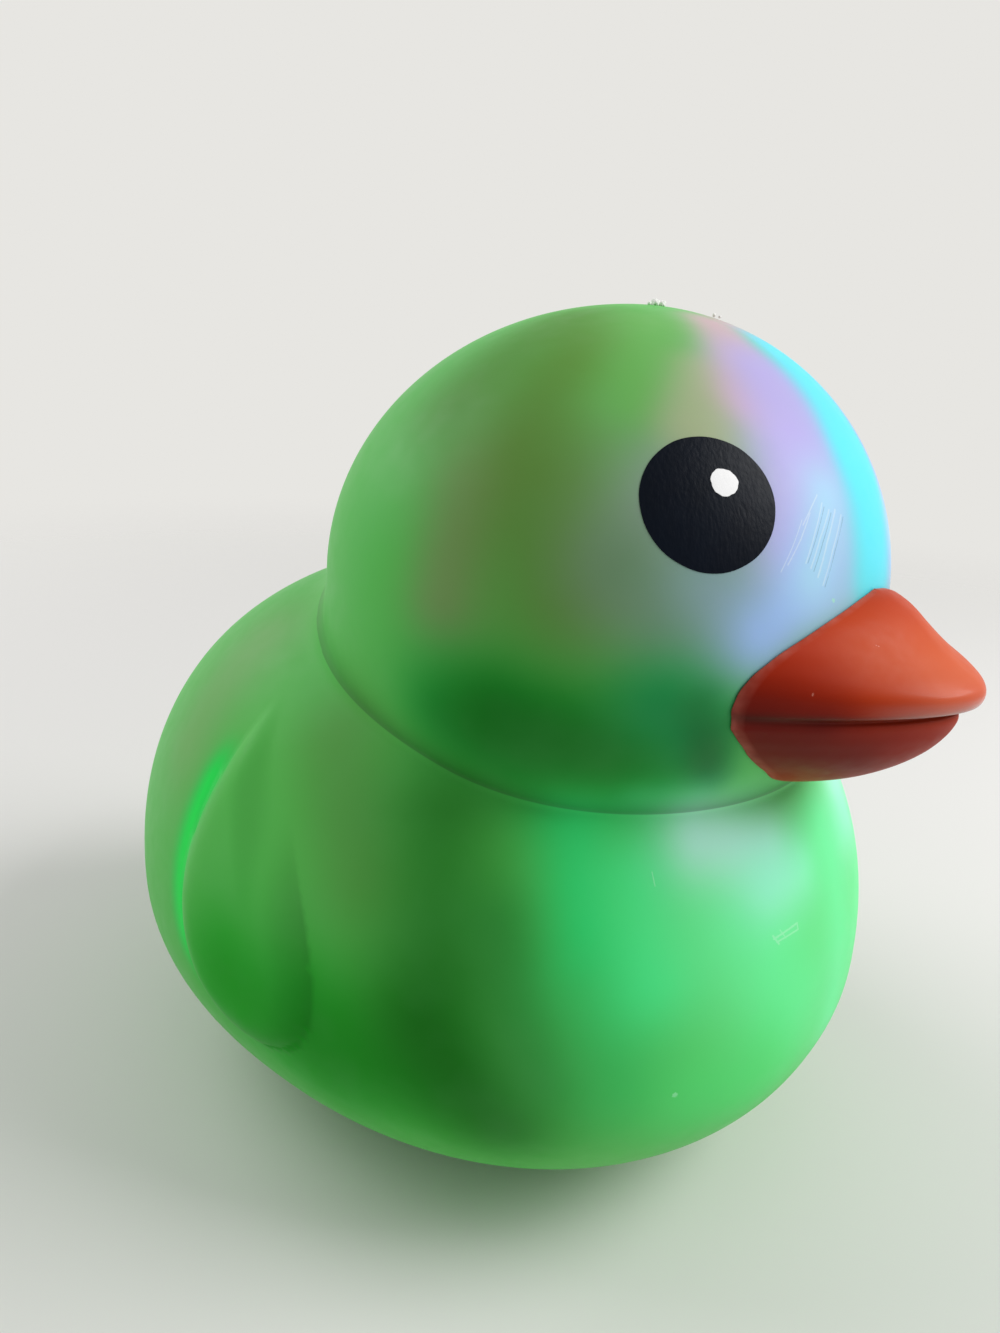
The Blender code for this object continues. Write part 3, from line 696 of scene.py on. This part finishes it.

# A painted highlight behind each wing, and painted shade at its foot in front.
wing = np.append(wing_depth.ravel(), np.full(len(places) - wing_depth.size, -1.0)) * 1000
height = places[:, 2]
behind = smooth_step(behind_middle(places[:, 1] / 1000, height / 1000) * 100)
wing_highlight = np.exp(-((wing + HIGHLIGHT_AWAY) / HIGHLIGHT_WIDTH) ** 2) * behind
wing_highlight = wing_highlight * smooth_step((height - 40) / 14) * smooth_step((98 - height) / 12)
coat = coat + (np.array(HIGHLIGHT_GREEN) - coat) * (HIGHLIGHT_STRENGTH * wing_highlight)[:, None]
foot_shade = np.exp(-((wing - 0.2) / FOOT_WIDTH) ** 2) * (wing > -0.3) * (1 - behind)
coat = coat * (1 - FOOT_STRENGTH * foot_shade * smooth_step((88 - height) / 22))[:, None]
keep_coat(duck, coat)
print("points in the bright streaks:", int((wing_highlight > 0.5).sum()))

# %% [markdown]
# ## The beak's colour, with its light and shade painted in
# The beak is masked and sprayed by itself, in the same way: painted light on its roof and its
# tip, painted shade at the cheeks and under the chin, and a little painted shade in the line of
# the mouth. A second value marks the rolled lip at the front, for the material to make it glossier.

# %% Spray the beak
MOUTH_HEIGHT, MOUTH_HALF, MOUTH_SHADE = 118.6, 1.1, 0.35
LIP_HEIGHT, LIP_HALF, LIP_STARTS, LIP_GROWS = 120.7, 1.9, -92, 9
BEAK_RED = (184, 44, 0)
# Every pass on the beak is painted light or shade: the lit roof, tip and chin are painted light, the shaded
# cheek and chin painted shade.
BEAK_PASSES = [  # name, colour, from, to, width in mm, strength
    ("lit roof", (212, 84, 30), (4, -98, 130), (14, -92, 127), 12, 0.85),
    ("lit tip", (232, 116, 78), (0, -104, 124), (8, -102, 123), 8, 0.8),
    ("shaded cheek", (104, 8, 0), (33, -78, 119), (24, -86, 118), 6, 0.9),
    ("shaded chin", (92, 4, 0), (29, -80, 112), (14, -94, 108), 12, 0.9),
    ("lit chin", (140, 26, 6), (4, -104, 112), (10, -100, 111), 7, 0.8),
]
coat = spray(beak_places, BEAK_RED, BEAK_PASSES)
# Painted shade in the line of the mouth.
shade_in_mouth = np.exp(-((beak_places[:, 2] - MOUTH_HEIGHT) / MOUTH_HALF) ** 2)
keep_coat(beak, coat * (1 - MOUTH_SHADE * shade_in_mouth)[:, None])
at_front = smooth_step((LIP_STARTS - beak_places[:, 1]) / LIP_GROWS)
on_lip = np.exp(-((beak_places[:, 2] - LIP_HEIGHT) / LIP_HALF) ** 2)
add_values(beak, "rolled_lip", at_front * on_lip)
print("passes on the beak:", len(BEAK_PASSES))

# %% [markdown]
# ## Helpers for materials
# A material is a small network of nodes. Two helpers keep the networks readable: one makes a
# node with its values, the other makes a group, which is an effect that several materials
# share, with its own named inputs and outputs.

# %% Nodes and groups


def fill_inputs(tree, node, inputs):
    """Set a node's inputs to values, or link them to sockets; i0 is the first input."""
    for name, value in inputs.items():
        numbered = name[0] == "i" and name[1:].isdigit()
        slot = node.inputs[int(name[1:]) if numbered else name.replace("_", " ")]
        if isinstance(value, bpy.types.NodeSocket):
            tree.links.new(value, slot)
        else:
            slot.default_value = value
    return node


def add_node(tree, kind, settings=(), **inputs):
    """A node with its settings and its inputs."""
    made = tree.nodes.new(kind)
    for name, value in dict(settings).items():
        setattr(made, name, value)
    return fill_inputs(tree, made, inputs)


def new_group(name, inputs, outputs):
    """An empty node group with sockets given as (name, kind, default)."""
    group = bpy.data.node_groups.new(name, "ShaderNodeTree")
    for direction, sockets in (("INPUT", inputs), ("OUTPUT", outputs)):
        for title, kind, *default in sockets:
            socket = group.interface.new_socket(title, in_out=direction, socket_type="NodeSocket" + kind)
            if default:
                socket.default_value = default[0]
    return group, group.nodes.new("NodeGroupInput"), group.nodes.new("NodeGroupOutput")


def calculate(tree, operation, a, b=0.0, clamp=False):
    """The result of one sum on two values or sockets."""
    settings = {"operation": operation, "use_clamp": clamp}
    return add_node(tree, "ShaderNodeMath", settings, i0=a, i1=b).outputs[0]


def place_group(tree, group, **inputs):
    """Put a group in a material."""
    return fill_inputs(tree, add_node(tree, "ShaderNodeGroup", {"node_tree": group}), inputs)


def new_material(name, **inputs):
    """A Principled material with plain values, its node tree and its shader."""
    made = bpy.data.materials.new(name)
    made.use_nodes = True
    shader = made.node_tree.nodes["Principled BSDF"]
    for title, value in inputs.items():
        shader.inputs[title.replace("_", " ")].default_value = value
    return made, made.node_tree, shader


# %% [markdown]
# ## Grain, shared by every moulded piece
# Moulded and sprayed surfaces are never quite even. There is a fine orange peel from the
# spray, a slower waviness from the mould, and large faint clouds where the coat is thicker.
# Three noises of three sizes give a height, a cloud and a patchiness that each material uses
# in its own measure.

# %% Build the grain group
grain, grain_in, grain_out = new_group(
    "moulded_grain",
    [("Peel Size", "Float", 1400.0), ("Wave Size", "Float", 260.0), ("Cloud Size", "Float", 38.0)],
    [("Height", "Float"), ("Cloud", "Float"), ("Patch", "Float")])
where = add_node(grain, "ShaderNodeTexCoord").outputs["Object"]
peel, wave, cloud = (
    add_node(grain, "ShaderNodeTexNoise", Vector=where, Scale=grain_in.outputs[size],
             Detail=detail).outputs["Fac"]
    for size, detail in (("Peel Size", 2.0), ("Wave Size", 1.0), ("Cloud Size", 3.0)))
mixed = calculate(grain, "ADD", calculate(grain, "MULTIPLY", peel, 0.35), wave)
for result, output in ((mixed, "Height"), (cloud, "Cloud"), (wave, "Patch")):
    grain.links.new(result, grain_out.inputs[output])


def satin(tree, shader, own_grain, roughness, drift, strength, depth):
    """Roughness that drifts with the grain's patches, and a bump from its height."""
    patch = calculate(tree, "MULTIPLY", own_grain.outputs["Patch"], drift)
    tree.links.new(calculate(tree, "ADD", roughness, patch), shader.inputs["Roughness"])
    bump = add_node(tree, "ShaderNodeBump", Height=own_grain.outputs["Height"], Strength=strength,
                    Distance=depth)
    tree.links.new(bump.outputs["Normal"], shader.inputs["Normal"])


# %% [markdown]
# ## Strokes: one mark at a time
# The marks on this duck are few and each has its place: hairline scratches beside the eye, a
# small scuff on the chest, specks on the beak. Each is the distance to a short line between
# two points, thinner than its width, with an edge broken up by noise. A speck is a line of
# almost no length. As in the spraying, an end is a pixel of the photograph or a place in mm.

# %% Build the stroke group
stroke, stroke_in, stroke_out = new_group(
    "stroke_mark",
    [("Start", "Vector"), ("End", "Vector"), ("Width", "Float", 0.0003), ("Rough", "Float", 0.5)],
    [("Mask", "Float")])
where = add_node(stroke, "ShaderNodeTexCoord").outputs["Object"]


def combine(tree, operation, a, b=(0, 0, 0)):
    """The vector or value that an operation on two vectors gives."""
    made = add_node(tree, "ShaderNodeVectorMath", {"operation": operation}, i0=a, i1=b)
    return made.outputs["Value" if operation in ("DOT_PRODUCT", "LENGTH") else "Vector"]


from_start = combine(stroke, "SUBTRACT", where, stroke_in.outputs["Start"])
whole = combine(stroke, "SUBTRACT", stroke_in.outputs["End"], stroke_in.outputs["Start"])
squared = calculate(stroke, "MAXIMUM", combine(stroke, "DOT_PRODUCT", whole, whole), 1e-9)
share = calculate(stroke, "DIVIDE", combine(stroke, "DOT_PRODUCT", from_start, whole), squared, clamp=True)
reached = add_node(stroke, "ShaderNodeVectorMath", {"operation": "SCALE"}, i0=whole, Scale=share)
gap = combine(stroke, "LENGTH", combine(stroke, "SUBTRACT", from_start, reached.outputs["Vector"]))
ragged = add_node(stroke, "ShaderNodeTexNoise", Vector=where, Scale=2600.0, Detail=2.0).outputs["Fac"]
centred = calculate(stroke, "SUBTRACT", ragged, 0.5)
uneven = calculate(stroke, "MULTIPLY", centred, stroke_in.outputs["Rough"])
ratio = calculate(stroke, "DIVIDE", gap, stroke_in.outputs["Width"])
faded = calculate(stroke, "SUBTRACT", calculate(stroke, "ADD", 1.3, uneven), ratio)
stroke.links.new(calculate(stroke, "MULTIPLY", faded, 2.0, clamp=True), stroke_out.inputs["Mask"])


def mark(tree, start, end, width, rough=1.2):
    """A stroke between two ends, with its width in mm."""
    return place_group(tree, stroke, Start=as_place(start) / 1000, End=as_place(end) / 1000,
                       Width=width / 1000, Rough=rough).outputs["Mask"]


def gather(tree, masks):
    """The strongest of several masks at each place."""
    found = masks[0]
    for mask in masks[1:]:
        found = calculate(tree, "MAXIMUM", found, mask)
    return found


def lay_marks(tree, colour, layers):
    """Tint a colour by layers of marks, each with its shade, its strength and its masks."""
    for shade, amount, masks in layers:
        share = calculate(tree, "MULTIPLY", gather(tree, masks), amount)
        colour = tint(tree, colour, paint(*shade), share)
    return colour


def tint(tree, base, colour, amount):
    """A colour moved towards another by an amount from 0 to 1."""
    made = tree.nodes.new("ShaderNodeMix")
    made.data_type = "RGBA"
    for index, value in ((0, amount), (6, base), (7, colour)):
        if isinstance(value, bpy.types.NodeSocket):
            tree.links.new(value, made.inputs[index])
        elif index:
            made.inputs[index].default_value = (*value, 1.0)
        else:
            made.inputs[index].default_value = value
    return made.outputs[2]


# %% [markdown]
# ## Sprayed vinyl
# Soft vinyl lets a little light in, so its shadows are not grey and its highlights are broad.
# The material has the sprayed colour of each point, with its painted shade and highlights, a
# slight subsurface glow, a satin sheen whose roughness drifts, and the marks that the
# photograph shows. The hairline scratches are real, and are painted pale partly as the highlight
# that they catch, with a darker groove beside each that is painted shade.

# %% Make the green vinyl
# Real hairline scratches, painted pale partly as the highlight that each catches.
LIT_SCRATCHES = [  # start, middle, end in the photograph's pixels; width in mm
    ((841, 515), (833, 549), (823, 585), 0.17), ((835, 510), (827, 543), (818, 577), 0.2),
    ((829, 510), (820, 539), (811, 568), 0.17), ((822, 503), (815, 533), (806, 563), 0.15),
    ((817, 495), (811, 508), (803, 525), 0.13), ((810, 513), (801, 539), (788, 565), 0.13),
    ((802, 520), (793, 546), (781, 572), 0.1)]
# A darker groove beside each scratch, which is painted shade.
SHADED_GROOVES = [
    ((843, 517), (835, 551), (825, 587), 0.12), ((831, 513), (823, 542), (814, 571), 0.12),
    ((824, 507), (817, 535), (808, 563), 0.1)]
SCUFF = [  # start, end, width
    ((774, 939), (797, 923), 0.22), ((797, 923), (798, 929), 0.2), ((797, 930), (777, 942), 0.18),
    ((773, 936), (779, 944), 0.2), ((780, 930), (786, 938), 0.12), ((675, 1095), (675, 1095), 0.5),
    ((652, 872), (655, 886), 0.09), ((833, 600), (834, 601), 0.3)]
DIRT = (-54.2, -6.8, 146.5)


def bent_mark(tree, start, middle, end, width):
    """A scratch that follows the round head: two strokes that meet in a middle place."""
    return gather(tree, [mark(tree, start, middle, width), mark(tree, middle, end, width)])


vinyl, tree, shader = new_material("sprayed_green_vinyl", Subsurface_Weight=0.12, Subsurface_Scale=0.004,
                                   Specular_IOR_Level=0.12)
shader.inputs["Subsurface Radius"].default_value = (0.6, 1.0, 0.6)
# The sprayed colour of each point, with its painted shade and highlights.
sprayed_and_painted_light = add_node(tree, "ShaderNodeAttribute", {"attribute_name": "sprayed_and_painted_light"}).outputs["Color"]
own_grain = place_group(tree, grain, Cloud_Size=34.0)
thick = calculate(tree, "SUBTRACT", own_grain.outputs["Cloud"], 0.42)
clouded = calculate(tree, "MULTIPLY", thick, 0.30, clamp=True)
colour = tint(tree, sprayed_and_painted_light, paint(120, 200, 130), clouded)
colour = lay_marks(tree, colour, [
    # Pale scratches, partly painted highlight, and grooves of painted shade beside them.
    ((236, 246, 252), 0.34, [bent_mark(tree, *one) for one in LIT_SCRATCHES]),
    ((96, 130, 150), 0.35, [bent_mark(tree, *one) for one in SHADED_GROOVES]),
    ((176, 250, 200), 0.5, [mark(tree, *one) for one in SCUFF]),
    ((40, 52, 34), 0.8, [mark(tree, DIRT, DIRT, 0.3)])])
tree.links.new(colour, shader.inputs["Base Color"])
satin(tree, shader, own_grain, 0.36, 0.14, 0.25, 0.00006)
duck.data.materials.append(vinyl)

# %% [markdown]
# ## The beak's coat
# The beak is sprayed an opaque orange-red. The coat is a little thinner and pinker along its
# edge against the face, and it carries a few pale specks and two dark dots. Only the rolled
# lip at the front has a clear coat over it, which gives it its sharp highlight.

# %% Make the orange vinyl
SPECKS = [  # start, end, width; mm
    ((-22.6, -90.6, 121.2), (-22.6, -90.6, 121.2), 0.5),
    ((-20.0, -93.2, 120.3), (-19.6, -93.6, 119.6), 0.34),
    ((-27.5, -86.6, 123.6), (-27.0, -87.0, 122.9), 0.32),
    ((-21.0, -91.0, 112.5), (-21.0, -91.0, 112.0), 0.38),
    ((-29.5, -79.5, 127.0), (-28.6, -80.4, 126.6), 0.18),
    ((-14.0, -91.0, 130.5), (-13.4, -91.8, 130.2), 0.18)]
DOTS = [
    ((-2.2, -86.0, 136.2), (-1.6, -86.2, 136.3), 0.5),
    ((-8.5, -106.5, 122.0), (-8.0, -106.6, 121.8), 0.3)]
orange, tree, shader = new_material("sprayed_orange_vinyl", Subsurface_Weight=0.05, Subsurface_Scale=0.002,
                                    Specular_IOR_Level=0.10, Coat_Roughness=0.16)
own_grain = place_group(tree, grain, Cloud_Size=90.0, Wave_Size=420.0)
clouded = calculate(tree, "MULTIPLY", own_grain.outputs["Cloud"], 0.5)
# The sprayed colour of each point, with its painted light and shade.
sprayed_and_painted_light = add_node(tree, "ShaderNodeAttribute", {"attribute_name": "sprayed_and_painted_light"}).outputs["Color"]
colour = tint(tree, sprayed_and_painted_light, paint(214, 84, 50), calculate(tree, "MULTIPLY", clouded, 0.15))
edge_away = add_node(tree, "ShaderNodeAttribute", {"attribute_name": "from_seam"}).outputs["Fac"]
at_edge = calculate(tree, "SUBTRACT", 1.0, calculate(tree, "DIVIDE", edge_away, 0.0011), clamp=True)
patchy = calculate(tree, "MULTIPLY", own_grain.outputs["Patch"], 0.5)
thin = calculate(tree, "MULTIPLY", at_edge, patchy, clamp=True)
colour = tint(tree, colour, paint(226, 132, 116), thin)
colour = lay_marks(tree, colour, [
    ((240, 170, 150), 0.75, [mark(tree, *one) for one in SPECKS]),
    ((40, 6, 4), 0.85, [mark(tree, *one) for one in DOTS])])
tree.links.new(colour, shader.inputs["Base Color"])
satin(tree, shader, own_grain, 0.36, 0.16, 0.22, 0.00006)
rolled = add_node(tree, "ShaderNodeAttribute", {"attribute_name": "rolled_lip"}).outputs["Fac"]
tree.links.new(calculate(tree, "MULTIPLY", rolled, 1.0, clamp=True), shader.inputs["Coat Weight"])
beak.data.materials.append(orange)

# %% [markdown]
# ## Paint of the eyes, and plain white
# The dark paint dried with fine wrinkles that catch the light on its lower front side. A noise
# squeezed hard along one direction makes such wrinkles. The glints are thick white paint.

# %% Make the paints and the white plastic
navy, tree, shader = new_material("eye_paint", Specular_IOR_Level=0.07)
own_grain = place_group(tree, grain, Cloud_Size=140.0, Wave_Size=700.0)
colour = tint(tree, paint(0, 4, 14), paint(4, 14, 28), own_grain.outputs["Cloud"])
tree.links.new(colour, shader.inputs["Base Color"])
where = add_node(tree, "ShaderNodeTexCoord").outputs["Object"]
squeezed = add_node(tree, "ShaderNodeMapping", Vector=where, Rotation=(0.5, 0.4, 0.9),
                    Scale=(1.0, 1.0, 0.12))
wrinkle = add_node(tree, "ShaderNodeTexNoise", Vector=squeezed.outputs[0], Scale=1500.0, Detail=2.0)
fine = calculate(tree, "MULTIPLY", own_grain.outputs["Height"], 0.5)
height = calculate(tree, "ADD", wrinkle.outputs["Fac"], fine)
bump = add_node(tree, "ShaderNodeBump", Height=height, Strength=0.5, Distance=0.00012)
tree.links.new(bump.outputs["Normal"], shader.inputs["Normal"])
tree.links.new(calculate(tree, "ADD", 0.30, calculate(tree, "MULTIPLY", wrinkle.outputs["Fac"], 0.2)),
               shader.inputs["Roughness"])
for eye in eyes:
    eye.data.materials.append(navy)


def white_material(name, shade, roughness, depth):
    """A white with faint clouds and a fine uneven surface."""
    made, tree, shader = new_material(name)
    own_grain = place_group(tree, grain, Cloud_Size=300.0, Wave_Size=900.0)
    darker = [level - 12 for level in shade]
    colour = tint(tree, paint(*shade), paint(*darker), own_grain.outputs["Cloud"])
    tree.links.new(colour, shader.inputs["Base Color"])
    satin(tree, shader, own_grain, roughness, 0.15, 0.4, depth)
    return made


glint_paint = white_material("glint_paint", (255, 255, 255), 0.35, 0.00003)
for glint in glints:
    glint.data.materials.append(glint_paint)
squeaker.data.materials.append(white_material("whistle_plastic", (228, 226, 218), 0.38, 0.00005))
crumbs.data.materials.append(white_material("white_fluff", (255, 255, 250), 0.8, 0.00002))

# %% [markdown]
# ## Stage and light
# In the photograph the light comes mostly from the camera's right, and the room fills in from
# the other side, nearly as strongly. Two large soft boxes do the same: one to the camera's
# right, and a larger one to its left and above. The floor is a plain disc that fades out into
# the background, so that no horizon cuts behind the duck, and it takes the duck's soft shadow.

# %% Stage and light
FLOOR_RADIUS, FLOOR_POINTS, FADES_FROM, FADES_TO = 4.0, 96, 0.30, 0.95


def soft_lamp(name, towards, distance, size, power, colour=(1, 1, 1)):
    """A square soft box that looks at the duck's middle."""
    lamp = bpy.data.lights.new(name, "AREA")
    lamp.shape = "SQUARE"
    lamp.size = size
    lamp.energy = power
    lamp.color = colour
    box = bpy.data.objects.new(name, lamp)
    back = np.array(towards) / np.linalg.norm(towards)
    side = np.cross((0, 0, 1), back)
    side = side / np.linalg.norm(side)
    placed = np.eye(4)
    placed[:3, 0], placed[:3, 1], placed[:3, 2] = side, np.cross(back, side), back
    placed[:3, 3] = back * distance + (0, 0, 0.08)
    box.matrix_world = [list(column) for column in placed.T]
    bpy.context.scene.collection.objects.link(box)


soft_lamp("window_light", 0.9 * right - 0.3 * forward + 0.6 * up, 1.1, 0.6, 8.5)
soft_lamp("fill_light", -0.75 * right + 0.1 * forward + 0.75 * up, 1.4, 1.0, 8.0)

world = bpy.data.worlds.new("studio")
bpy.context.scene.world = world
world.use_nodes = True
sky = world.node_tree
sky.nodes.clear()
seen = add_node(sky, "ShaderNodeBackground", Color=(0.80, 0.79, 0.76, 1.0), Strength=1.0)
lit = add_node(sky, "ShaderNodeBackground", Color=(1.0, 1.0, 1.0, 1.0), Strength=0.40)
path = add_node(sky, "ShaderNodeLightPath")
direct = calculate(sky, "MAXIMUM", path.outputs["Is Camera Ray"], path.outputs["Is Glossy Ray"])
direct = calculate(sky, "MAXIMUM", direct, path.outputs["Is Transmission Ray"])
both = add_node(sky, "ShaderNodeMixShader", i0=direct, i1=lit.outputs[0], i2=seen.outputs[0])
sky.links.new(both.outputs[0], add_node(sky, "ShaderNodeOutputWorld").inputs["Surface"])

rim = np.linspace(0, 2 * math.pi, FLOOR_POINTS, endpoint=False)
disc = bpy.data.meshes.new("floor")
disc.from_pydata(flat_ring(rim, FLOOR_RADIUS, 0.0).tolist(), [], [list(range(FLOOR_POINTS))])
floor = bpy.data.objects.new("floor", disc)
bpy.context.scene.collection.objects.link(floor)
table, tree, shader = new_material("pale_floor", Base_Color=(0.78, 0.77, 0.75, 1.0), Roughness=0.9)
where = add_node(tree, "ShaderNodeTexCoord").outputs["Object"]
far_out = combine(tree, "LENGTH", where)
ends = add_node(tree, "ShaderNodeMapRange", {"interpolation_type": "SMOOTHSTEP"}, Value=far_out,
                From_Min=FADES_FROM, From_Max=FADES_TO, To_Min=1.0, To_Max=0.0)
tree.links.new(ends.outputs["Result"], shader.inputs["Alpha"])
disc.materials.append(table)
print("lamps:", len(bpy.data.lights), "floor radius, m:", FLOOR_RADIUS)
